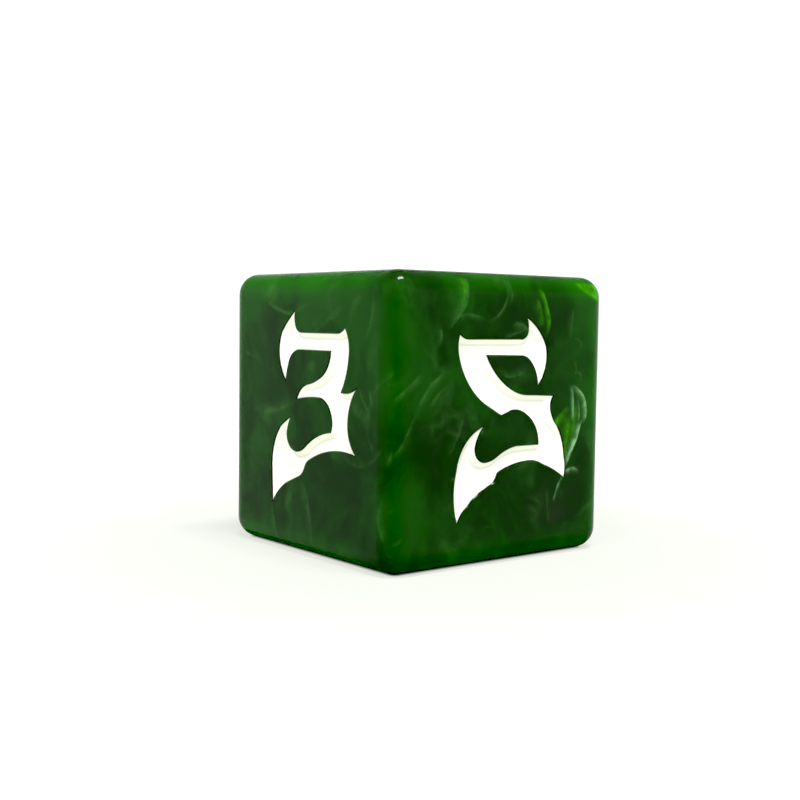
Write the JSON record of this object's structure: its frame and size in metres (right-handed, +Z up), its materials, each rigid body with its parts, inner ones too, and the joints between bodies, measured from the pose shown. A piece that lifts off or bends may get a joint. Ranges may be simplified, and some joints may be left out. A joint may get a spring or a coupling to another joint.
{
  "type": "numbered six-sided die",
  "caption": "Marbled green resin cube die with rounded edges and a white paint-filled blackletter numeral sunk into each face.",
  "frame": {"origin": "middle of the face that carries the 6, which the die stands on", "axes": "+Z up through the face that carries the 1, +X out of the 5, -Y out of the 3"},
  "size_m": [0.016, 0.016, 0.016],
  "materials": {
    "marbled_resin": "polished, with pearly green swirls",
    "numeral_paint": "satin white paint"
  },
  "bodies": {
    "root": {"die_body": "marbled_resin", "numeral_1_paint": "numeral_paint", "numeral_2_paint": "numeral_paint", "numeral_3_paint": "numeral_paint", "numeral_4_paint": "numeral_paint", "numeral_5_paint": "numeral_paint", "numeral_6_paint": "numeral_paint"}
  },
  "joints": []
}
